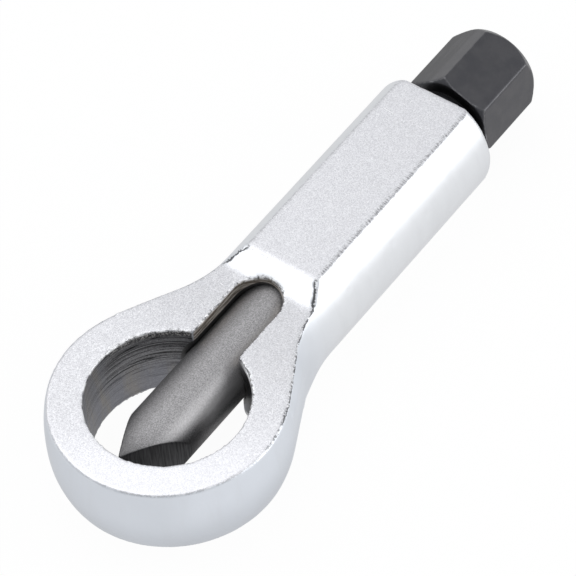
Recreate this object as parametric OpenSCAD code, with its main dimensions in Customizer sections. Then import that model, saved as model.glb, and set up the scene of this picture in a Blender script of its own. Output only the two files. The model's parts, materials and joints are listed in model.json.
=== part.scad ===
// Mechanical nut splitter: a forged ring and barrel, with a chisel that a hexagon-headed screw
// drives across the ring. X runs from the centre of the ring along the barrel, and Z is the axis
// of the ring. The chisel stands almost fully forward.

/* [Ring] */
// Bore that drops over the nut
ring_bore_d = 33; // [30:0.5:36]
// Wall of the ring between its bore and its outside, where it is widest
ring_wall = 8.3; // [7:0.1:10]
// Thickness of the ring and of the neck
ring_t = 18; // [17:0.25:20]
// Rounding of the outer edges of the ring and neck
edge_r = 0.4; // [0.3:0.1:1]
// How far the outer sides draw in from the parting line to the upper face
draw_top = 0.8; // [0.4:0.1:1.4]
// How far the outer sides draw in from the parting line to the lower face
draw_under = 1.5; // [0.4:0.1:2]
// Height of the plain band at the parting line, where the flash was trimmed
parting_h = 2; // [1:0.5:6]

/* [Neck] */
// Angle at which each side of the neck closes in on the barrel
neck_taper = 26.5; // [22:0.5:30]
// Hollow rounding where the sides of the neck run into the barrel
neck_fillet_r = 20; // [12:1:30]
// Step by which the sides of the neck stand outside the round of the barrel
neck_flare = 0.6; // [0.4:0.1:1]
// Distance by which the shoulder of the round barrel stands behind the end of the taper
shoulder_lead = 3; // [2.5:0.25:5]
// Hollow rounding of that shoulder
shoulder_r = 30; // [20:1:36]
// Distance from the outside of the ring to the foot of the ramp
ramp_start = 8.7; // [8:0.1:14]
// Length of the ramp that climbs to the flats
ramp_l = 4.6; // [3:0.1:8]

/* [Window] */
// Width of the window milled over the chisel
window_w = 11; // [8:0.25:13]
// Reach of the window behind the bore of the ring
window_reach = 18; // [12:0.5:20]

/* [Barrel] */
// Diameter of the round sides of the barrel
barrel_d = 28.4; // [26.4:0.2:31]
// Distance across the two flats of the barrel
barrel_flats = 22.8; // [21:0.2:25]
// Length of the flats
barrel_l = 54.3; // [48:0.5:70]
// Rounding at the open end of the barrel
barrel_end_r = 1.2; // [0.2:0.1:2]
// Length of the tapped bore, from the open end
tapped_l = 47.4; // [40:0.5:50]
// Chamfer at the mouth of the tapped bore
mouth_chamfer = 1; // [0.4:0.1:2]

/* [Chisel] */
// Diameter of the chisel bar
chisel_d = 14.3; // [13:0.1:15]
// Length of the chisel
chisel_l = 70; // [66:0.5:74]
// Angle between the two faces of the cutting wedge
wedge_angle = 56; // [45:1:70]
// Width of the blunt land on the cutting edge
edge_land = 0.4; // [0.2:0.1:1.2]
// Gap between the cutting edge and the far wall of the ring
tip_gap = 0.9; // [0.7:0.1:4]
// Chamfer round the tail of the chisel
tail_chamfer = 0.6; // [0.2:0.1:1.2]
// Stroke of the chisel back from where it stands
stroke = 31; // [20:0.5:31]
// Last advance of the chisel beyond where it stands
advance = 0.5; // [0.2:0.1:0.6]

/* [Screw] */
// Outside diameter of the screw thread
screw_d = 16; // [15.6:0.1:18]
// Length of the chamfer that leads the thread in
lead_chamfer = 1.2; // [0.6:0.1:2]
// Distance across the flats of the hexagon head
head_flats = 19; // [17:0.5:20]
// Length of the head
head_l = 18.8; // [14:0.2:26]
// Angle at which one corner of the head stands
head_turn = 23; // [0:1:59]
// Angle of the chamfer on the barrel side of the head
head_back_chamfer = 30; // [15:1:45]
// Angle of the chamfer on the outer side of the head
head_front_chamfer = 50; // [15:1:55]
// Diameter of the flat on the outer end of the head
head_crown_d = 18; // [14:0.2:18.8]
// Gap between the barrel and the head
head_gap = 4.2; // [2:0.2:10]

/* [Thrust joint] */
// Diameter of the nose of the screw
nose_d = 9; // [8:0.1:9.4]
// Length of the nose inside the chisel
nose_l = 5; // [4:0.1:6]
// Diameter of the thrust ball
ball_d = 6; // [5:0.5:7]
// Wire of the retaining ring
wire_d = 1.2; // [0.8:0.1:1.4]
// Open part of the retaining ring, as an angle
wire_gap = 40; // [20:5:90]
// Distance from the tail of the chisel to the middle of the retaining ring
wire_set = 2.4; // [2:0.1:3]

/* [Guide screw] */
// Diameter of the guide screw
guide_d = 6; // [5:0.5:7]
// Distance from the top of the ramp to the guide screw
guide_set = 4; // [3.5:0.5:8]
// Diameter of the point of the guide screw
point_d = 3.5; // [2.5:0.1:4]
// Depth of the keyway along the underside of the chisel
keyway_depth = 2; // [1.4:0.1:2.2]
// Depth of the head of the guide screw below the flat
guide_sink = 0.5; // [0.3:0.1:1]
// Hexagon socket of the guide screw, across its flats
socket_flats = 3; // [2:0.5:3]
// Depth of that socket
socket_depth = 1.8; // [1:0.1:2]

/* [Clearances] */
// Running clearance round the chisel and the screw thread
run_clear = 0.05; // [0.02:0.01:0.08]
// Clearance where pieces seat on each other
seat_clear = 0.04; // [0.02:0.01:0.1]
// Clearance on each side of the retaining ring and of the guide point
side_clear = 0.1; // [0.05:0.01:0.2]

/* [Hidden] */
$fn = 96;
hair = 0.01;
shoulder_steps = 12;
edge_steps = 3;
draw_steps = 4;

bore_r = ring_bore_d / 2;
ring_r = bore_r + ring_wall;
draws = [draw_top, draw_under];
barrel_r = barrel_d / 2;
ramp_foot_x = ring_r + ramp_start;
ramp_top_x = ramp_foot_x + ramp_l;
barrel_end_x = ramp_top_x + barrel_l;
tapped_x = barrel_end_x - tapped_l;

tangent_x = ring_r * sin(neck_taper);
tangent_y = ring_r * cos(neck_taper);
neck_r = barrel_r + neck_flare;
taper_end_x = tangent_x + (tangent_y - neck_r) / tan(neck_taper);
shoulder_x = taper_end_x + shoulder_lead;
fillet_l = neck_fillet_r * tan(neck_taper / 2);
fillet_at = [taper_end_x + fillet_l, neck_r + neck_fillet_r];
fillet_touch = [taper_end_x - fillet_l * cos(neck_taper), neck_r + fillet_l * sin(neck_taper)];

window_end_x = bore_r + window_reach;
guide_bore_r = chisel_d / 2 + run_clear;
tapped_r = screw_d / 2 + run_clear;

tip_x = tip_gap - bore_r;
tail_x = tip_x + chisel_l;
wedge_l = (chisel_d - edge_land) / 2 / tan(wedge_angle / 2);
nose_x = tail_x - nose_l;
ball_x = nose_x - seat_clear - ball_d / 2;
pocket_x = ball_x - ball_d / 2 - seat_clear;
wire_x = tail_x - wire_set;
wire_path_r = nose_d / 2;
groove_w = wire_d + 2 * side_clear;

shank_x = tail_x + side_clear;
head_x = barrel_end_x + head_gap;
head_r = head_flats / sqrt(3);
head_end_x = head_x + head_l;

guide_x = ramp_top_x + guide_set;
guide_face_z = guide_sink - barrel_flats / 2;
guide_foot_z = -guide_bore_r - seat_clear;
point_z = keyway_depth - chisel_d / 2 - side_clear;
keyway_front_x = guide_x - stroke - side_clear;
keyway_back_x = guide_x + advance + side_clear;
keyway_r = point_d / 2 + side_clear;

// Turns a shape so that its height runs along X, and its own X and Y become Y and Z
module along_x(x = 0) {
    translate([x, 0, 0])
        rotate([90, 0, 90])
            children();
}

// Round bar along X between two places
module bar(r, from_x, to_x) {
    along_x(from_x)
        cylinder(r = r, h = to_x - from_x);
}

// What the draw of a side and its softened edge leave off a square corner at the origin, with the
// metal below and left of it: narrow flats that share the turn, from the parting line to the face
module side_offcut(draw) {
    draw_h = (ring_t - parting_h) / 2 - edge_r;
    side = [for (i = [0 : draw_steps])
            let (rise = i / draw_steps)
            [-draw * rise * rise, (parting_h - ring_t) / 2 + draw_h * rise]];
    edge = [for (i = [edge_steps - 1 : -1 : 0])
            let (turn = 90 * i / edge_steps)
            edge_r * [sin(turn) - 1, cos(turn) - 1] - [draw, 0]];
    polygon(concat(side, edge, [[-draw - edge_r, hair], [hair, hair], [hair, side[0][1]]]));
}

// Disc of the ring, widest at the parting line
module ring_blank() {
    rotate_extrude()
        difference() {
            translate([0, -ring_t / 2])
                square([ring_r, ring_t]);
            for (face = [0, 1])
                mirror([0, face])
                    translate([ring_r, ring_t / 2])
                        side_offcut(draws[face]);
        }
}

// One side of the neck and barrel seen from above: it falls at the taper from where it touches
// the ring, and a hollow fillet turns it along the barrel
module neck_half_plan() {
    difference() {
        polygon([[tangent_x, 0], [barrel_end_x, 0], [barrel_end_x, neck_r], [fillet_at[0], neck_r],
                 fillet_at, fillet_touch, [tangent_x, tangent_y]]);
        translate(fillet_at)
            circle(neck_fillet_r);
    }
}

module neck_plan() {
    linear_extrude(2 * barrel_d, center = true)
        for (side = [0, 1])
            mirror([0, side])
                neck_half_plan();
}

// Neck, ramps and flats seen from the side
module neck_side() {
    upper = [[0, ring_t / 2], [ramp_foot_x, ring_t / 2], [ramp_top_x, barrel_flats / 2],
             [barrel_end_x, barrel_flats / 2]];
    lower = [for (i = [len(upper) - 1 : -1 : 0]) [upper[i][0], -upper[i][1]]];
    rotate([90, 0, 0])
        linear_extrude(4 * ring_r, center = true)
            polygon(concat(upper, lower));
}

// Round form of the barrel, which opens out over the neck as a hollow shoulder and is rounded
// over at its open end
module neck_round() {
    touch_l = shoulder_r * tan(neck_taper / 2);
    centre = [barrel_r + shoulder_r, shoulder_x + touch_l];
    hollow = [for (i = [0 : shoulder_steps])
              let (turn = neck_taper * i / shoulder_steps)
              centre - shoulder_r * [cos(turn), sin(turn)]];
    start_r = barrel_r + shoulder_x * tan(neck_taper);
    end_r = barrel_r - barrel_end_r;
    along_x()
        rotate_extrude() {
            polygon(concat([[start_r, 0], [0, 0], [0, barrel_end_x], [end_r, barrel_end_x],
                            [end_r, barrel_end_x - barrel_end_r],
                            [barrel_r, barrel_end_x - barrel_end_r]], hollow));
            translate([end_r, barrel_end_x - barrel_end_r])
                intersection() {
                    circle(barrel_end_r);
                    square(barrel_end_r);
                }
        }
}

// Offcuts of the two sides of the neck at both faces, along the taper and round the fillet
module neck_offcuts() {
    taper_l = norm(fillet_touch - [tangent_x, tangent_y]);
    for (side = [0, 1], face = [0, 1])
        mirror([0, side, 0])
            mirror([0, 0, face])
                translate([0, 0, ring_t / 2]) {
                    translate([tangent_x, tangent_y])
                        rotate(-neck_taper)
                            along_x()
                                linear_extrude(taper_l)
                                    side_offcut(draws[face]);
                    translate(fillet_at)
                        rotate(270 - neck_taper)
                            rotate_extrude(angle = neck_taper)
                                translate([neck_fillet_r, 0])
                                    mirror([1, 0])
                                        side_offcut(draws[face]);
                }
}

module frame_body() {
    color("gainsboro")
        difference() {
            union() {
                ring_blank();
                intersection() {
                    neck_plan();
                    neck_side();
                    neck_round();
                }
            }
            neck_offcuts();
            cylinder(d = ring_bore_d, h = 2 * ring_t, center = true);
            window();
            bar(guide_bore_r, 0, tapped_x + hair);
            bar(tapped_r, tapped_x, barrel_end_x + hair);
            along_x(barrel_end_x - mouth_chamfer)
                cylinder(r1 = tapped_r, r2 = tapped_r + mouth_chamfer + hair, h = mouth_chamfer + hair);
            translate([guide_x, 0, -barrel_flats])
                cylinder(d = guide_d + 2 * seat_clear, h = barrel_flats);
        }
}

// Window through both faces of the neck, with a round end
module window() {
    straight_l = window_end_x - window_w / 2;
    linear_extrude(2 * barrel_flats, center = true) {
        translate([0, -window_w / 2])
            square([straight_l, window_w]);
        translate([straight_l, 0])
            circle(d = window_w);
    }
}

module guide_screw() {
    color("dimgray")
        translate([guide_x, 0, 0])
            difference() {
                union() {
                    translate([0, 0, guide_face_z])
                        cylinder(d = guide_d, h = guide_foot_z - guide_face_z);
                    translate([0, 0, guide_face_z])
                        cylinder(d = point_d, h = point_z - guide_face_z);
                }
                translate([0, 0, guide_face_z - hair])
                    cylinder(d = socket_flats * 2 / sqrt(3), h = socket_depth + hair, $fn = 6);
            }
}

module cutting_chisel() {
    color("gray")
        difference() {
            intersection() {
                along_x(tip_x)
                    rotate_extrude()
                        polygon([[0, 0], [chisel_d / 2, 0], [chisel_d / 2, chisel_l - tail_chamfer],
                                 [chisel_d / 2 - tail_chamfer, chisel_l], [0, chisel_l]]);
                translate([tip_x, 0, 0])
                    linear_extrude(2 * chisel_d, center = true)
                        polygon([[0, -edge_land / 2], [wedge_l, -chisel_d / 2], [chisel_l, -chisel_d / 2],
                                 [chisel_l, chisel_d / 2], [wedge_l, chisel_d / 2], [0, edge_land / 2]]);
            }
            bar(nose_d / 2 + run_clear, nose_x - seat_clear - ball_d / 2, tail_x + hair);
            bar(ball_d / 2 + seat_clear, pocket_x, tail_x);
            bar(wire_path_r + wire_d / 2 + side_clear, wire_x - groove_w / 2, wire_x + groove_w / 2);
            keyway();
        }
}

// Keyway with round ends, as long as the stroke
module keyway() {
    translate([0, 0, -chisel_d])
        linear_extrude(chisel_d / 2 + keyway_depth) {
            translate([keyway_front_x, -keyway_r])
                square([keyway_back_x - keyway_front_x, 2 * keyway_r]);
            for (end_x = [keyway_front_x, keyway_back_x])
                translate([end_x, 0])
                    circle(keyway_r);
        }
}

module thrust_ball() {
    color("silver")
        translate([ball_x, 0, 0])
            sphere(d = ball_d);
}

module retaining_ring() {
    color("darkgray")
        along_x(wire_x)
            rotate(90 + wire_gap / 2)
                rotate_extrude(angle = 360 - wire_gap)
                    translate([wire_path_r, 0])
                        circle(d = wire_d);
}

module pressure_screw() {
    groove_r = wire_path_r - wire_d / 2 - side_clear;
    shank_r = screw_d / 2;
    color("#26272a") {
        along_x()
            rotate_extrude()
                polygon([[0, nose_x], [nose_d / 2, nose_x], [nose_d / 2, wire_x - groove_w / 2],
                         [groove_r, wire_x - groove_w / 2], [groove_r, wire_x + groove_w / 2],
                         [nose_d / 2, wire_x + groove_w / 2], [nose_d / 2, shank_x],
                         [shank_r - lead_chamfer, shank_x], [shank_r, shank_x + lead_chamfer],
                         [shank_r, head_x + hair], [0, head_x + hair]]);
        screw_head();
    }
}

// Hexagon with its corners turned off to a cone at both ends. The turning runs clear of the corners.
module screw_head() {
    clear_r = 1.2 * head_r;
    back_l = (clear_r - head_flats / 2) * tan(head_back_chamfer);
    front_l = (clear_r - head_crown_d / 2) * tan(head_front_chamfer);
    intersection() {
        along_x(head_x)
            rotate(head_turn)
                cylinder(r = head_r, h = head_l, $fn = 6);
        along_x()
            rotate_extrude()
                polygon([[0, head_x], [head_flats / 2, head_x], [clear_r, head_x + back_l],
                         [clear_r, head_end_x - front_l], [head_crown_d / 2, head_end_x],
                         [0, head_end_x]]);
    }
}

frame_body();
guide_screw();
cutting_chisel();
thrust_ball();
retaining_ring();
pressure_screw();
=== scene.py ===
import json
import math

import bmesh
import bpy
from mathutils import Matrix, Vector, noise


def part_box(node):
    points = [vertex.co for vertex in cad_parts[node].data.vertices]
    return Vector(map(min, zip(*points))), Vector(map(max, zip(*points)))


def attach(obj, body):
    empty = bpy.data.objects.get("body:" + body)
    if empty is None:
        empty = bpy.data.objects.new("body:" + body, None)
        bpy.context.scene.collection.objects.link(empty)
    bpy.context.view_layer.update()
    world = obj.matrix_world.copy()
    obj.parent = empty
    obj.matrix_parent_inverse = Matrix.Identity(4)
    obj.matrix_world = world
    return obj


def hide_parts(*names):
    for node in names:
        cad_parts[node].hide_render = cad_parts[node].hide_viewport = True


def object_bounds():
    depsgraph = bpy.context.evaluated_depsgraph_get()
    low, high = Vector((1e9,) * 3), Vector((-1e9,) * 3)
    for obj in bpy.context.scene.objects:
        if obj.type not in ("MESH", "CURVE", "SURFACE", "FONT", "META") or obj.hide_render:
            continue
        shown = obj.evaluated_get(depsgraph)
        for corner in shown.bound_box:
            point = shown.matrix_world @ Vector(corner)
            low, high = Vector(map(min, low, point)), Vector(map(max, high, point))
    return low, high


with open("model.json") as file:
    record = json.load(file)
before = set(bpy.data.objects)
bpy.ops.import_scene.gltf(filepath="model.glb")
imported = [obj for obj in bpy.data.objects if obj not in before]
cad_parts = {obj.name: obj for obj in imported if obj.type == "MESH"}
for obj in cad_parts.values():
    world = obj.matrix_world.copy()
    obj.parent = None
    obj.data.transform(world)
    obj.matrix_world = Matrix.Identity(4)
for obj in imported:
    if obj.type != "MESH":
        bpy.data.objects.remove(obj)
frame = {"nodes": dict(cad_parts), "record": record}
cad_low, cad_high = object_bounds()

# Frame body: the one-piece forging, a nut ring on a flared neck and a round barrel with two flats.
# Drop-forged steel, bored and slotted afterwards, then plated a bright satin silver all over.
# The forged faces keep a fine grain, the sides are polished smooth and the rims are a little chipped.
MM = 0.001
WELD = 2e-6
body_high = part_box("frame_body")[1]
# Sizes with MM are in metres, and all others are in millimetres.
ring_bore_r = 16.5
ring_face = 9.0
barrel_flat = body_high.z / MM
barrel_end = body_high.x / MM
barrel_r = 14.2
seam_y = math.sqrt(barrel_r ** 2 - barrel_flat ** 2)
ramp_foot = 33.5
ramp_top = 38.1
window_half = 5.5
window_end = 34.5
tapped_r = 8.05
forging_voxel = 0.45 * MM
rim_start = 1.008
rim_span = 0.06


def welded(node):
    """A bmesh copy of a CAD node with its loose triangles merged."""
    copy = bmesh.new()
    copy.from_mesh(frame["nodes"][node].data)
    bmesh.ops.remove_doubles(copy, verts=copy.verts, dist=WELD)
    return copy


def smooth(shape, verts, passes):
    """Moves those vertices half-way to the middle of their neighbours, that many times."""
    for _ in range(passes):
        bmesh.ops.smooth_vert(
            shape, verts=verts, factor=0.5, use_axis_x=True, use_axis_y=True, use_axis_z=True)


def softened(blank, voxel):
    """An even mesh of a closed blank, with its edges rounded and their sharpness kept as "rim"."""
    mesh = bpy.data.meshes.new("blank")
    blank.to_mesh(mesh)
    blank.free()
    holder = bpy.data.objects.new("blank", mesh)
    bpy.context.scene.collection.objects.link(holder)
    remesh = holder.modifiers.new("even_mesh", "REMESH")
    remesh.mode = "VOXEL"
    remesh.voxel_size = voxel
    graph = bpy.context.evaluated_depsgraph_get()
    even = bmesh.new()
    even.from_mesh(holder.evaluated_get(graph).to_mesh())
    bpy.data.objects.remove(holder)
    smooth(even, even.verts, 1)
    even.normal_update()
    rim = even.verts.layers.float.new("rim")
    for vert in even.verts:
        vert[rim] = min(1.0, max(0.0, (vert.calc_shell_factor() - rim_start) / rim_span))
    smooth(even, even.verts, 1)
    even.normal_update()
    return even


def finished_piece(name, shape, material, body, node):
    """The object of a finished shape, smooth shaded, riding on its body in place of its CAD node."""
    mesh = bpy.data.meshes.new(name)
    for face in shape.faces:
        face.smooth = True
    shape.to_mesh(mesh)
    shape.free()
    mesh.materials.append(material)
    piece = bpy.data.objects.new(name, mesh)
    bpy.context.scene.collection.objects.link(piece)
    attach(piece, body)
    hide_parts(node)
    return piece


class ShaderTree:
    """A node tree, with short calls for the nodes that this tool's finishes and stage use."""

    def __init__(self, tree):
        self.tree = tree

    def add(self, kind, inputs=None, **settings):
        made = self.tree.nodes.new("ShaderNode" + kind)
        for key, value in settings.items():
            setattr(made, key, value)
        for key, value in (inputs or {}).items():
            self.put(made.inputs[key], value)
        return made

    def put(self, socket, value):
        """Links another node's socket, or sets a number or a colour of three shares."""
        if isinstance(value, bpy.types.NodeSocket):
            self.tree.links.new(value, socket)
        elif socket.type == "RGBA":
            socket.default_value = (*value, 1.0)
        else:
            socket.default_value = value

    def math(self, operation, first, second=0.0, third=0.0):
        inputs = {0: first, 1: second, 2: third}
        return self.add("Math", inputs, operation=operation).outputs[0]

    def plus(self, first, second):
        return self.math("ADD", first, second)

    def minus(self, first, second):
        return self.math("SUBTRACT", first, second)

    def absolute(self, value):
        return self.math("ABSOLUTE", value)

    def times(self, first, *factors):
        for factor in factors:
            first = self.math("MULTIPLY", first, factor)
        return first

    def most(self, first, *others):
        for other in others:
            first = self.math("MAXIMUM", first, other)
        return first

    def length(self, first, second):
        squares = self.plus(self.math("POWER", first, 2.0), self.math("POWER", second, 2.0))
        return self.math("SQRT", squares)

    def step(self, value, low, high, start=0.0, end=1.0):
        """start below low, end above high, and a smooth change between them."""
        inputs = {0: value, 1: low, 2: high, 3: start, 4: end}
        return self.add("MapRange", inputs, interpolation_type="SMOOTHSTEP").outputs[0]

    def fade(self, value, low, high, start=1.0):
        """start below low, nothing above high, and a smooth change between them."""
        return self.step(value, low, high, start, 0.0)

    def mix(self, share, first, second):
        return self.add("Mix", {0: share, 6: first, 7: second}, data_type="RGBA").outputs[2]

    def level(self, share, first, second):
        return self.add("Mix", {0: share, 2: first, 3: second}, data_type="FLOAT").outputs[0]

    def scaled(self, colour, share):
        return self.add("VectorMath", {0: colour, "Scale": share}, operation="SCALE").outputs[0]


class Finish(ShaderTree):
    """A metal finish that is laid out in the tool's own millimetres."""

    def __init__(self, name):
        self.material = bpy.data.materials.new(name)
        self.material.use_nodes = True
        super().__init__(self.material.node_tree)
        self.shader = self.tree.nodes["Principled BSDF"]
        place = self.add("TexCoord").outputs["Object"]
        self.place = self.add("Mapping", {"Vector": place, "Scale": (1 / MM,) * 3}).outputs[0]
        self.x, self.y, self.z = self.add("SeparateXYZ", {0: self.place}).outputs

    def grain(self, scale, detail=3.0, stretch=(1.0, 1.0, 1.0), rough=0.5):
        """Noise with that many cells to a millimetre along each axis, about 0 to 1."""
        place = self.add("Mapping", {"Vector": self.place, "Scale": stretch}).outputs[0]
        inputs = {"Vector": place, "Scale": scale, "Detail": detail, "Roughness": rough}
        return self.add("TexNoise", inputs).outputs["Fac"]

    def stray(self, grain, reach):
        """Noise made into millimetres to either side."""
        return self.math("MULTIPLY_ADD", grain, 2 * reach, -reach)

    def attribute(self, name):
        return self.add("Attribute", attribute_name=name).outputs["Fac"]

    def metal(self, colour, roughness, edge_tint=1.0):
        """Bare metal of that colour, whose grazing reflections keep the share edge_tint."""
        self.put(self.shader.inputs["Base Color"], colour)
        self.put(self.shader.inputs["Metallic"], 1.0)
        self.put(self.shader.inputs["Roughness"], roughness)
        self.put(self.shader.inputs["Specular Tint"], (edge_tint,) * 3)

    def relief(self, height, depth):
        """Bump of that depth in metres under the whole finish."""
        made = self.add("Bump", {"Strength": 1.0, "Distance": depth, "Height": height})
        self.put(self.shader.inputs["Normal"], made.outputs[0])


class ForgingFinish(Finish):
    """The plated forging's finish, which knows where its faces, bore, window and edges are."""

    def __init__(self, name):
        super().__init__(name)
        self.find_faces()
        self.find_walls()
        self.lay_marks()

    def find_faces(self):
        """The depth under the forged faces, where their grain is, and which end of the tool it is."""
        top = self.add(
            "MapRange", {0: self.x, 1: ramp_foot, 2: ramp_top, 3: ring_face, 4: barrel_flat}).outputs[0]
        self.depth = self.minus(top, self.absolute(self.z))
        self.ragged = self.stray(self.grain(3.0, 3.0, rough=0.6), 0.3)
        self.face = self.fade(self.plus(self.depth, self.ragged), 0.05, 0.3)
        along = self.plus(self.x, self.stray(self.grain(0.6, 2.0), 0.8))
        ramp = self.times(
            self.step(along, ramp_foot - 1.4, ramp_foot + 1.2),
            self.fade(along, ramp_top - 1.0, ramp_top + 0.2))
        self.grained = self.times(self.face, self.level(ramp, 1.0, 0.15))
        self.on_barrel = self.step(self.x, 30.0, 42.0)
        towards_front = self.math("MULTIPLY_ADD", self.x, -0.84, self.times(self.y, -0.55))
        self.at_front = self.step(towards_front, 3.0, 20.0)

    def find_walls(self):
        """The distances from the walls of the bore and the window, and what lies inside them."""
        ahead = self.math("GREATER_THAN", self.x, 0.0)
        past_round = self.most(self.minus(self.x, window_end - window_half), 0.0)
        self.off_bore = self.minus(self.length(self.x, self.y), ring_bore_r)
        self.off_window = self.minus(self.length(past_round, self.y), window_half)
        off_thread = self.minus(self.length(self.y, self.z), tapped_r)
        self.in_bore = self.fade(self.off_bore, 0.05, 0.3)
        self.in_window = self.times(ahead, self.fade(self.off_window, 0.05, 0.25))
        self.in_barrel = self.times(ahead, self.fade(off_thread, 0.1, 0.4))
        self.machined_rim = self.most(
            self.fade(self.off_bore, 0.1, 0.9), self.times(ahead, self.fade(self.off_window, 0.1, 0.9)))

    def lay_marks(self):
        """The grain, scratches and turning marks that both the colour and the relief follow."""
        self.fine = self.grain(4.6, 4.0, rough=0.65)
        self.calm = self.most(self.times(self.on_barrel, 0.2), self.times(self.at_front, 0.4))
        contour = self.absolute(self.minus(self.grain(0.045, 0.0), 0.5))
        self.scratch = self.times(
            self.fade(contour, 0.0015, 0.004), self.step(self.grain(0.14, 2.0), 0.52, 0.6))
        turning = self.grain(1.0, 3.0, (0.012, 0.012, 0.7), 0.6)
        self.turning_line = self.math("PINGPONG", self.times(turning, 8.0), 0.5)
        self.groove = self.step(self.turning_line, 0.06, 0.11)
        self.coarse_part = self.times(
            self.step(self.z, -4.0, 2.0), self.step(self.x, -2.0, 3.0, 0.35, 1.0))
        # Where shade is painted on the bore's wall to the right of the chisel.
        self.painted_shade = self.times(self.fade(self.y, -9.0, -5.0), self.step(self.x, -2.0, 4.0))

    def forged_face(self):
        """The grain that the dies leave, with bright specks, pits and a few long scratches, and a painted
        highlight towards the front of the ring.
        """
        forged = self.mix(self.step(self.fine, 0.32, 0.68), (0.53, 0.53, 0.555), (0.82, 0.82, 0.845))
        speck = self.step(self.grain(2.4, 2.0), 0.62, 0.72, 0.0, 0.6)
        forged = self.mix(speck, forged, (0.95, 0.95, 0.96))
        forged = self.mix(self.calm, forged, (0.66, 0.66, 0.685))
        pit = self.step(self.grain(3.0, 2.0, rough=0.6), 0.60, 0.68)
        pitted = self.level(self.at_front, self.level(self.on_barrel, 0.3, 0.06), 0.12)
        forged = self.mix(self.times(pit, pitted), forged, (0.36, 0.36, 0.38))
        # Painted highlight: the faces are made lighter towards the front of the ring.
        painted_front_highlight = self.times(self.at_front, 0.15)
        dulled = self.times(self.step(self.x, 6.0, 22.0), self.fade(self.x, 30.0, 36.0, 0.1))
        forged = self.scaled(forged, self.plus(self.minus(painted_front_highlight, dulled), 1.0))
        return self.mix(self.times(self.scratch, 0.5), forged, (0.97, 0.97, 0.98))

    def polished_side(self):
        """Smooth plating, brightest on the barrel, with painted shade low on the ring, a painted highlight
        high on its right side, and faint buffing streaks.
        """
        cloud = self.grain(0.16, 3.0)
        ring = self.mix(cloud, (0.62, 0.65, 0.70), (0.66, 0.69, 0.74))
        barrel = self.mix(cloud, (0.715, 0.73, 0.755), (0.755, 0.77, 0.795))
        polished = self.mix(self.step(self.x, 18.0, 42.0), ring, barrel)
        # Painted shade towards the lower edge of the ring, and a painted highlight high on its right side.
        painted_ring_low_shade = self.times(self.fade(self.z, -7.0, 2.0, 0.09), self.fade(self.x, 14.0, 24.0))
        painted_side_highlight = self.times(self.step(self.z, -3.0, 5.0, 0.0, 0.09), self.fade(self.y, -20.0, -13.0))
        polished = self.scaled(polished, self.plus(self.minus(painted_side_highlight, painted_ring_low_shade), 1.0))
        buffed = self.step(self.grain(1.0, 3.0, (0.3, 0.3, 0.05), 0.6), 0.45, 0.75, 0.0, 0.14)
        return self.mix(buffed, polished, (0.56, 0.57, 0.59))

    def turned_bore(self):
        """Turning marks above, a stained wall below, a torn rim, and painted shade on the right side, with a
        bright lip that is partly a painted highlight.
        """
        mottle = self.grain(2.6, 4.0, (1.0, 1.0, 2.0), 0.7)
        coarse = self.mix(self.step(mottle, 0.35, 0.65), (0.095, 0.095, 0.10), (0.235, 0.235, 0.245))
        coarse = self.mix(self.step(self.turning_line, 0.40, 0.47), coarse, (0.22, 0.22, 0.228))
        coarse = self.mix(self.groove, (0.008, 0.008, 0.009), coarse)
        hairline = self.step(self.grain(1.0, 2.0, (0.02, 0.02, 3.2)), 0.40, 0.46)
        coarse = self.scaled(coarse, self.level(hairline, 0.45, 1.15))
        stain = self.step(self.grain(1.0, 3.0, (0.22, 0.22, 0.03), 0.6), 0.45, 0.7)
        stained = self.mix(stain, (0.18, 0.184, 0.205), (0.222, 0.205, 0.178))
        stained = self.mix(self.step(mottle, 0.4, 0.7, 0.0, 0.4), stained, (0.34, 0.34, 0.36))
        stained = self.mix(self.level(self.groove, 0.35, 0.0), stained, (0.05, 0.05, 0.055))
        turned = self.mix(self.coarse_part, stained, coarse)
        torn = self.times(self.step(self.z, 7.1, 8.3), self.step(self.x, 0.0, 6.0), 0.75)
        speckle = self.step(self.grain(2.2, 4.0, rough=0.8), 0.50, 0.58)
        turned = self.mix(torn, turned, self.mix(speckle, (0.03, 0.03, 0.032), (0.80, 0.78, 0.76)))
        # Painted shade: the wall to the right of the chisel is made almost black.
        turned = self.mix(self.times(self.painted_shade, 0.85), turned, (0.012, 0.012, 0.013))
        # The lip at the top of that wall: turned metal, with its brightness partly a painted highlight.
        lip_and_painted_highlight = self.mix(self.step(mottle, 0.36, 0.5), (0.3, 0.3, 0.31), (0.92, 0.92, 0.93))
        return self.mix(self.times(self.painted_shade, self.fade(self.depth, 1.2, 2.2, 0.9)), turned, lip_and_painted_highlight)

    def milled_window(self):
        """Cutter streaks round the wall of the window, with painted shade that darkens it with depth."""
        streak = self.step(self.grain(1.0, 4.0, (0.12, 0.12, 1.8), 0.65), 0.38, 0.62)
        milled = self.mix(streak, (0.21, 0.18, 0.15), (0.95, 0.90, 0.83))
        # Painted shade deeper down the window's wall.
        return self.scaled(milled, self.step(self.depth, 2.2, 5.0, 1.0, 0.06))

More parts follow.
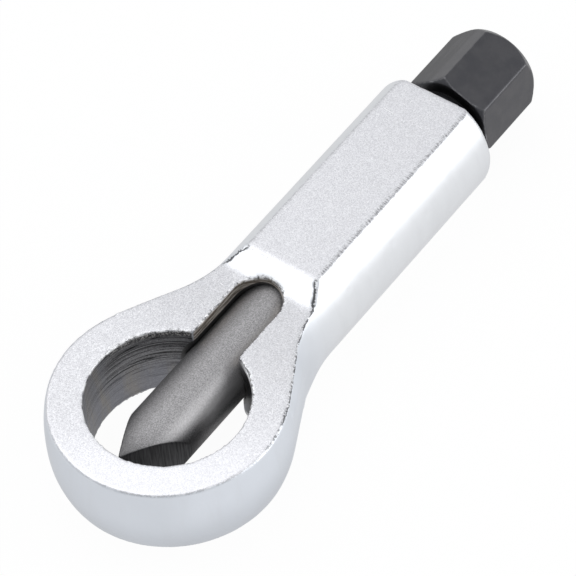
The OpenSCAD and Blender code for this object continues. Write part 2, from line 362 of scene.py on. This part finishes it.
    def worn_edges(self, plate):
        """Bright wear and burrs that are partly painted highlights, a painted highlight on the bore's upper
        left rim, and dark chips, dots and cracks, along the edges of the faces.
        """
        near_face = self.fade(self.depth, 0.3, 0.7)
        edged = self.times(self.machined_rim, near_face, self.step(self.x, -6.0, 9.0, 0.25, 1.0))
        chip = self.times(edged, self.step(self.grain(1.5, 3.0, rough=0.7), 0.54, 0.60))
        burr = self.times(edged, self.fade(self.grain(1.1, 3.0, rough=0.7), 0.48, 0.54))
        # Painted highlight along the bore's upper left rim.
        painted_rim_highlight = self.times(
            self.fade(self.off_bore, 0.2, 0.6), self.fade(self.x, 6.0, 13.0),
            self.step(self.y, -6.0, 3.0), self.step(self.grain(0.5, 3.0), 0.36, 0.5), near_face)
        patch = self.times(
            self.step(self.grain(0.22, 3.0), 0.30, 0.48),
            self.step(self.y, -7.0, 3.0, 1.0, 0.4), self.step(self.x, -6.0, 10.0, 0.3, 1.0))
        strokes = self.step(self.grain(1.0, 2.0, (3.6, 0.6, 0.6)), 0.48, 0.57)
        fringe = self.times(
            self.step(self.absolute(self.y), seam_y - 1.1, seam_y),
            self.step(self.x, ramp_top, ramp_top + 1.5), strokes, patch, self.face)
        plate = self.mix(self.times(fringe, 0.7), plate, (0.18, 0.18, 0.19))
        # Lighter rims and burrs: partly wear, partly painted highlight.
        wear_and_highlight = self.most(
            self.times(self.attribute("rim"), self.level(self.machined_rim, 0.6, 0.05)),
            self.times(burr, 0.8), self.times(painted_rim_highlight, 0.9))
        plate = self.mix(wear_and_highlight, plate, (0.93, 0.935, 0.95))
        dark = self.most(chip, self.times(self.dotted_line(patch), 0.95), self.ramp_crack())
        return self.mix(self.times(dark, 0.88), plate, (0.02, 0.02, 0.023))

    def torn_line(self, start, low, high):
        """A ragged line just under the faces, on the flanks only."""
        torn = self.math("MULTIPLY_ADD", self.ragged, 0.7, self.depth)
        flank = self.step(self.attribute("flank"), 0.06, 0.2)
        return self.times(self.step(torn, 0.0, start), self.fade(torn, low, high), flank)

    def dotted_line(self, patch):
        """The dashes along the outer edges, fainter on the barrel and missing at its ends."""
        dots = self.step(self.grain(1.3, 3.0, rough=0.7), 0.43, 0.50)
        off_ends = self.times(
            self.step(self.absolute(self.minus(self.x, ramp_top)), 0.4, 1.2),
            self.fade(self.x, barrel_end - 2.4, barrel_end - 1.6))
        fainter = self.step(self.x, ramp_top - 1.0, ramp_top + 1.0, 1.0, 0.3)
        return self.times(self.torn_line(0.1, 0.24, 0.38), dots, patch, off_ends, fainter)

    def ramp_crack(self):
        """The dark cracks along both sides of the ramps."""
        on_ramp = self.times(
            self.step(self.x, ramp_foot - 0.6, ramp_foot - 0.2),
            self.fade(self.x, ramp_top + 0.1, ramp_top + 0.5))
        return self.times(self.torn_line(0.06, 0.30, 0.42), on_ramp, self.step(self.off_window, 1.2, 1.6))


def plated_forging():
    finish = ForgingFinish("plated_forging")
    plate = finish.mix(finish.grained, finish.polished_side(), finish.forged_face())
    plate = finish.mix(finish.in_bore, plate, finish.turned_bore())
    plate = finish.mix(finish.in_window, plate, finish.milled_window())
    plate = finish.mix(finish.in_barrel, plate, (0.08, 0.08, 0.08))
    inside = finish.most(finish.in_bore, finish.in_window)
    roughness = finish.level(inside, finish.level(finish.grained, 0.38, 0.52), 0.5)
    finish.metal(finish.worn_edges(plate), roughness, edge_tint=0.84)
    outer_height = finish.times(
        finish.minus(finish.fine, finish.scratch), finish.grained, finish.minus(1.0, finish.calm))
    lip = finish.times(finish.painted_shade, finish.step(finish.depth, 0.1, 1.6, 0.0, 16.0))
    inner_height = finish.math("MULTIPLY_ADD", finish.groove, finish.coarse_part, lip)
    inner_height = finish.times(inner_height, finish.in_bore)
    finish.relief(finish.plus(outer_height, inner_height), 0.06 * MM)
    return finish.material


wave_size = 4.5
wave_depth = 0.03
chip_size = 1.3
chip_start = 0.1
chip_depth = 0.45
rim_reach = 1.0
outer_chip_share = 0.3
far_chip_share = 0.25
least_chip_share = 0.1
unchipped_front = -8.0
chipped_span = 12.0
dent_spread = 7.0
dent_share = 0.14
dent_depth = 0.10
crack_depth = 0.14
crack_top = 0.05
crack_foot = 0.4
crack_overrun = 0.4
crease_reach = 1.2
crease_depth = 0.4
crease_rim_limit = 0.5
crease_passes = 6
side_reach = 2.0
side_slope_limit = 0.4
side_rim_limit = 0.2
side_passes = 12


def below_face(point):
    """Depth of a point inside the nearer of the two forged faces."""
    climb = min(1.0, max(0.0, (point.x - ramp_foot) / (ramp_top - ramp_foot)))
    return ring_face + climb * (barrel_flat - ring_face) - abs(point.z)


def off_window(point):
    """Distance of a point from the wall of the window, seen from above."""
    past = max(0.0, point.x - (window_end - window_half))
    return math.hypot(past, point.y) - window_half


def off_walls(point):
    """Distance of a point from the nearer wall of the bore and the window, seen from above."""
    return min(math.hypot(point.x, point.y) - ring_bore_r, off_window(point))


def in_crease(vert):
    """Whether a vertex is on a face where a ramp starts or ends, clear of the edges."""
    point = vert.co / MM
    near_bend = min(abs(point.x - ramp_foot), abs(point.x - ramp_top)) < crease_reach
    on_face = abs(below_face(point)) < crease_depth and vert[rim] < crease_rim_limit
    return near_bend and on_face and off_window(point) > crease_reach


def on_side(vert):
    """Whether a vertex is on a polished side, clear of the edges, the bore and the window."""
    upright = abs(vert.normal.z) < side_slope_limit and vert[rim] < side_rim_limit
    return upright and off_walls(vert.co / MM) > side_reach


def flank_share(normal):
    """How far a surface is turned to either side, or well to the front of the ring."""
    return max(abs(normal.y), 2 * (-normal.x - 0.5))


def chip_share(point):
    """How much of the full chips a place on a rim has: most on the upper left, round the machined rims."""
    share = 1.0 if off_walls(point) < rim_reach else outer_chip_share
    share *= min(1.0, max(least_chip_share, (point.x - unchipped_front) / chipped_span))
    return share if point.y > 0 and point.z > 0 else share * far_chip_share


def worn_depth(vert):
    """How far forge waves, chips, dents and cracks take a vertex in, in millimetres."""
    point = vert.co / MM
    wave = abs(noise.noise(point / wave_size)) * wave_depth
    chip = max(0.0, noise.noise(point / chip_size) - chip_start) * chip_depth * vert[rim]
    nearest = noise.voronoi(point / dent_spread)[0][0]
    dent = max(0.0, 1.0 - nearest / dent_share) * dent_depth
    on_ramp = ramp_foot - crack_overrun < point.x < ramp_top + crack_overrun
    torn = crack_top < below_face(point) < crack_foot and off_window(point) > crease_reach
    crack = crack_depth if on_ramp and torn else 0.0
    return wave + chip * chip_share(point) + dent + crack


forging = softened(welded("frame_body"), forging_voxel)
rim = forging.verts.layers.float["rim"]
smooth(forging, [vert for vert in forging.verts if in_crease(vert)], crease_passes)
smooth(forging, [vert for vert in forging.verts if on_side(vert)], side_passes)
forging.normal_update()
flank = forging.verts.layers.float.new("flank")
for vert in forging.verts:
    vert[flank] = flank_share(vert.normal)
    vert.co -= vert.normal * worn_depth(vert) * MM
finished_piece(
    "forged_frame", forging, plated_forging(), "frame", "frame_body")


# Guide screw: a short hexagon-socket set screw with a dog point that keeps the chisel from turning.
# Blackened alloy steel, turned and threaded, screwed into the lower flat until its point is in the keyway.
def black_oxide(name, dark, light, roughness, marked=None):
    """Blackened steel with worn edges that are partly a painted highlight, and with the marks that a function
    adds to its colour.
    """
    finish = Finish(name)
    fine = finish.grain(5.0, 4.0, rough=0.65)
    blackened = finish.mix(finish.step(finish.grain(0.3, 3.0), 0.3, 0.7), dark, light)
    blackened = finish.mix(finish.times(fine, 0.15), blackened, (0.16, 0.16, 0.17))
    # Lighter edges: partly wear, partly a painted highlight along them.
    rubbed = finish.step(finish.grain(0.55, 3.0), 0.42, 0.62, 0.3, 1.0)
    edge_wear_and_highlight = finish.times(finish.attribute("rim"), rubbed)
    blackened = finish.mix(edge_wear_and_highlight, blackened, (0.28, 0.28, 0.29))
    if marked:
        blackened = marked(finish, blackened)
    finish.metal(blackened, finish.level(fine, roughness - 0.06, roughness + 0.08))
    finish.relief(fine, 0.012 * MM)
    return finish.material


def refinish(node, material):
    """Gives a CAD node, whose shape is right as it is, a better material."""
    materials = frame["nodes"][node].data.materials
    materials.clear()
    materials.append(material)


guide_black = black_oxide("guide_screw_black", (0.06, 0.06, 0.065), (0.10, 0.10, 0.105), 0.42)
refinish("guide_screw", guide_black)

# Cutting chisel: a round bar ground to a wedge across the bore, with a keyway and a blind tail bore.
# Hardened tool steel, centreless ground to a satin grey and left bare, with coarser marks on the wedge.
# It slides in the guide bore of the frame and is pushed along by the ball in its tail.
chisel_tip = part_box("cutting_chisel")[0].x / MM
wedge_half_angle = math.radians(28)
edge_land_half = 0.2
chisel_voxel = 0.25 * MM
keyway_half = 2.2
keyway_top = -4.6
keyway_room = 0.12
inside_r = 7.0


def satin_bar(finish, fine):
    """The round of the bar: fine grain, painted shade on its left flank and low down, a painted highlight on
    its right shoulder, and a painted light band over the low shade.
    """
    cloud = finish.grain(0.25, 3.0, (0.5, 1.0, 1.0))
    satin = finish.mix(finish.step(fine, 0.3, 0.7), (0.23, 0.226, 0.23), (0.56, 0.55, 0.56))
    satin = finish.mix(finish.times(cloud, 0.25), satin, (0.24, 0.235, 0.24))
    speck = finish.step(finish.grain(1.5, 2.0), 0.66, 0.74, 0.0, 0.35)
    satin = finish.mix(speck, satin, (0.62, 0.61, 0.62))
    # Painted shade on the left flank.
    satin = finish.mix(finish.step(finish.y, -2.5, 3.0, 0.0, 0.4), satin, (0.10, 0.098, 0.10))
    # Painted highlight on the right shoulder.
    painted_shoulder_highlight = finish.times(finish.fade(finish.y, -5.4, -2.6), finish.step(finish.z, 3.0, 5.0), 0.38)
    satin = finish.mix(painted_shoulder_highlight, satin, (0.74, 0.73, 0.74))
    strewn = finish.stray(finish.grain(3.0, 3.0, rough=0.7), 1.2)
    strewn = finish.plus(strewn, finish.math("MULTIPLY_ADD", finish.x, 0.35, -0.5))
    # Painted shade low down on the bar.
    painted_shade = finish.times(
        finish.fade(finish.plus(finish.z, strewn), 0.6, 4.6), finish.step(finish.x, -3.0, 5.0, 0.8, 0.3))
    satin = finish.mix(painted_shade, satin, (0.07, 0.07, 0.072))
    # A painted band of light over the low shade.
    painted_light_band = finish.times(
        finish.step(finish.x, 0.0, 6.0, 0.0, 0.7), finish.fade(finish.z, 3.4, 4.8),
        finish.fade(finish.y, -5.0, -3.5), finish.step(finish.z, 0.8, 2.4))
    return finish.mix(painted_light_band, satin, (0.85, 0.84, 0.85))


def ground_steel():
    finish = Finish("ground_tool_steel")
    behind = finish.minus(finish.x, chisel_tip)
    plane = finish.math("MULTIPLY_ADD", behind, math.tan(wedge_half_angle), edge_land_half)
    apart = finish.absolute(finish.minus(finish.absolute(finish.y), plane))
    wedge = finish.fade(apart, 0.06, 0.22)
    fine = finish.grain(4.0, 4.0, rough=0.7)
    line = finish.grain(1.0, 3.0, (4.0, 4.0, 0.15), 0.6)
    ground = finish.mix(finish.step(line, 0.35, 0.65), (0.07, 0.07, 0.072), (0.14, 0.14, 0.145))
    steel = finish.mix(wedge, satin_bar(finish, fine), ground)
    finish.metal(steel, finish.level(fine, 0.50, 0.64), edge_tint=0.45)
    finish.relief(finish.level(wedge, fine, line), 0.02 * MM)
    return finish.material


chisel = softened(welded("cutting_chisel"), chisel_voxel)
for vert in chisel.verts:
    point = vert.co / MM
    in_keyway = point.z < keyway_top and abs(point.y) < keyway_half
    if in_keyway and math.hypot(point.y, point.z) < inside_r:
        vert.co -= vert.normal * keyway_room * MM
finished_piece("ground_chisel", chisel, ground_steel(), "chisel", "cutting_chisel")


# Thrust ball: one hardened bearing ball in the tail of the chisel, between it and the nose of the screw.
# Chrome steel, lapped bright; it takes the thrust while the screw turns and the chisel doesn't.
def lapped_steel():
    finish = Finish("lapped_bearing_steel")
    cloud = finish.grain(0.6, 3.0)
    lapped = finish.mix(cloud, (0.62, 0.63, 0.64), (0.78, 0.78, 0.79))
    finish.metal(lapped, finish.level(cloud, 0.08, 0.2))
    return finish.material


refinish("thrust_ball", lapped_steel())


# Retaining ring: a split round-wire ring in the tail bore that lets the screw draw the chisel back.
# Hard-drawn spring steel wire, bent to a ring and sprung into its groove.
def drawn_wire():
    finish = Finish("drawn_spring_wire")
    line = finish.grain(4.0, 3.0, (0.2, 1.0, 1.0))
    drawn = finish.mix(line, (0.28, 0.28, 0.29), (0.46, 0.46, 0.47))
    finish.metal(drawn, finish.level(line, 0.25, 0.4))
    return finish.material


refinish("retaining_ring", drawn_wire())

# Pressure screw: the forcing screw, a fine right-hand thread under a long hexagon head with a plain nose.
# Machined from alloy steel bar and blackened; it turns in the tapped barrel and bears on the ball.
# The thread pitch is what the screw advances in one turn.
screw_low, screw_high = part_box("pressure_screw")
pitch = 2 * math.pi / frame["record"]["behaviour"]["couplings"][0]["ratio"]
shank_start = 54.5 * MM
shank_crest_r = 7.95 * MM
thread_depth = 0.61 * pitch
head_start = 96.6 * MM
head_voxel = 0.24 * MM
head_flat_r = 9.5
head_chamfer = math.radians(30)
sharp_angle = math.radians(28)
turn_steps = 48


def keep_between(shape, start, end):
    """Cuts a closed shape square to the screw's axis at both places and closes the cuts."""
    for place, clear_outer in ((start, False), (end, True)):
        cut = bmesh.ops.bisect_plane(
            shape, geom=[*shape.verts, *shape.edges, *shape.faces], dist=WELD,
            plane_co=(place, 0, 0), plane_no=(1, 0, 0),
            clear_outer=clear_outer, clear_inner=not clear_outer)
        rim_edges = [item for item in cut["geom_cut"] if isinstance(item, bmesh.types.BMEdge)]
        bmesh.ops.holes_fill(shape, edges=rim_edges, sides=0)
    bmesh.ops.recalc_face_normals(shape, faces=shape.faces)
    return shape


def threaded_shank():
    """A helical thread turned by a spin that moves one pitch along the axis each turn."""
    crest, root = shank_crest_r, shank_crest_r - thread_depth
    profile = ((0.0, root), (0.125, root), (0.46, crest), (0.54, crest), (0.875, root), (1.0, root))
    shank = bmesh.new()
    first = shank_start - 2 * pitch
    verts = [shank.verts.new((first + share * pitch, 0, radius)) for share, radius in profile]
    edges = [shank.edges.new(pair) for pair in zip(verts, verts[1:])]
    turns = math.ceil((head_start - first) / pitch) + 2
    bmesh.ops.spin(
        shank, geom=[*verts, *edges], cent=(0, 0, 0), axis=(1, 0, 0), dvec=(pitch / turn_steps, 0, 0),
        angle=2 * math.pi * turns, steps=turns * turn_steps, use_merge=False)
    bmesh.ops.remove_doubles(shank, verts=shank.verts, dist=WELD)
    keep_between(shank, shank_start, head_start)
    for face in shank.faces:
        face.material_index = 1
    return shank


def head_marks(finish, blackened):
    """Painted shade and scuffs on the left flat of the head, and painted shade on its chamfer, a cone that
    starts at the flats.
    """
    left_flat = finish.step(finish.y, 4.0, 5.2)
    # Painted shade: the left flat is darkened.
    blackened = finish.mix(finish.times(left_flat, 0.6), blackened, (0.042, 0.042, 0.045))
    scuff = finish.step(finish.grain(1.0, 3.0, (0.1, 0.7, 0.7), 0.6), 0.46, 0.66)
    blackened = finish.mix(finish.times(scuff, left_flat, 0.4), blackened, (0.10, 0.10, 0.105))
    # Painted shade on the chamfer under the head.
    out = finish.minus(finish.length(finish.y, finish.z), head_flat_r)
    cone = finish.math("MULTIPLY_ADD", out, math.tan(head_chamfer), head_start / MM)
    painted_chamfer_shade = finish.fade(finish.minus(finish.x, cone), -0.25, -0.05, 0.9)
    return finish.mix(painted_chamfer_shade, blackened, (0.006, 0.006, 0.007))


screw_black = black_oxide(
    "screw_black", (0.070, 0.070, 0.077), (0.086, 0.085, 0.091), 0.36, head_marks)
# The thread's black is a darker copy of the head's black oxide, painted shade under the head.
painted_shade_thread_black = black_oxide("painted_shade_thread_black", (0.016, 0.016, 0.018), (0.028, 0.028, 0.030), 0.40)
screw = softened(keep_between(welded("pressure_screw"), head_start, screw_high.x + MM), head_voxel)
nose = keep_between(welded("pressure_screw"), screw_low.x - MM, shank_start)
for part in (threaded_shank(), nose):
    spare = bpy.data.meshes.new("screw_part")
    part.to_mesh(spare)
    screw.from_mesh(spare)
    part.free()
screw_piece = finished_piece(
    "black_screw", screw, screw_black, "screw", "pressure_screw")
screw_piece.data.materials.append(painted_shade_thread_black)
screw_piece.data.set_sharp_from_angle(angle=sharp_angle)

# Floor: a plain pale studio floor that the tool lies on.
# To the eye and in reflections it glows white with a faint shadow, and to other light it is matt paint.
floor_half = 4.0
floor_paint = 0.85
floor_glow = 0.96
floor_mesh = bpy.data.meshes.new("floor")
sheet = bmesh.new()
bmesh.ops.create_grid(
    sheet, x_segments=1, y_segments=1, size=floor_half, matrix=Matrix.Translation((0, 0, cad_low.z)))
sheet.to_mesh(floor_mesh)
sheet.free()
floor = bpy.data.objects.new("floor", floor_mesh)
bpy.context.scene.collection.objects.link(floor)
white = bpy.data.materials.new("white_floor")
white.use_nodes = True
white.node_tree.nodes.clear()
matt = ShaderTree(white.node_tree)
ray = matt.add("LightPath").outputs
seen = matt.most(ray["Is Camera Ray"], ray["Is Glossy Ray"], ray["Is Transmission Ray"])
paint = matt.add("BsdfDiffuse", {"Color": (floor_paint,) * 3}).outputs[0]
glow = matt.add("Emission", {"Color": (1.0, 1.0, 1.0)}).outputs[0]
blend = matt.add("MixShader", {0: matt.times(seen, floor_glow), 1: paint, 2: glow}).outputs[0]
matt.add("OutputMaterial", {"Surface": blend})
floor_mesh.materials.append(white)

# Light: a soft white surround that is a little dimmer overhead than at the horizon.
# One large softbox is over the tool and lights its faces, and one is to its right and lights the sides.
horizon_strength = 0.80
overhead_strength = 0.70
overhead_height = 0.9
surround = bpy.data.worlds.new("soft_surround")
bpy.context.scene.world = surround
surround.use_nodes = True
sky = ShaderTree(surround.node_tree)
height = sky.add("SeparateXYZ", {0: sky.add("TexCoord").outputs["Generated"]}).outputs["Z"]
strength = sky.add(
    "MapRange", {0: height, 1: 0.0, 2: overhead_height, 3: horizon_strength, 4: overhead_strength})
background = surround.node_tree.nodes["Background"]
sky.put(background.inputs["Color"], (0.97, 0.985, 1.0))
sky.put(background.inputs["Strength"], strength.outputs[0])


def softbox(name, way, distance, size, power):
    """A square area lamp that shines on the tool from that direction."""
    lamp = bpy.data.lights.new(name, "AREA")
    lamp.shape = "SQUARE"
    lamp.size = size
    lamp.energy = power
    holder = bpy.data.objects.new(name, lamp)
    holder.location = Vector(way).normalized() * distance
    holder.rotation_mode = "QUATERNION"
    holder.rotation_quaternion = Vector(way).to_track_quat("Z", "Y")
    bpy.context.scene.collection.objects.link(holder)


softbox("softbox_over", way=(0.03, 0.42, 0.83), distance=1.0, size=0.95, power=4.2)
softbox("softbox_side", way=(0.485, -0.75, 0.42), distance=0.9, size=0.70, power=2.9)

# Camera: the view of the photograph.
# It looks down on the tool from beyond the ring and from the right of the tool's length.
camera_place = Vector((-0.29587, -0.28212, 0.53636))
camera_look = Vector((0.48522, 0.40831, -0.77321)).normalized()
camera_up = Vector((0.64826, 0.42545, 0.63147)).normalized()
camera_lens = 214.28
lens = bpy.data.cameras.new("photo_camera")
lens.lens = camera_lens
lens.sensor_width = 36.0
camera = bpy.data.objects.new("photo_camera", lens)
bpy.context.scene.collection.objects.link(camera)
turn = Matrix((camera_look.cross(camera_up), camera_up, -camera_look)).transposed()
camera.matrix_world = Matrix.Translation(camera_place) @ turn.to_4x4()
bpy.context.scene.camera = camera
bpy.context.scene.view_settings.view_transform = "Standard"
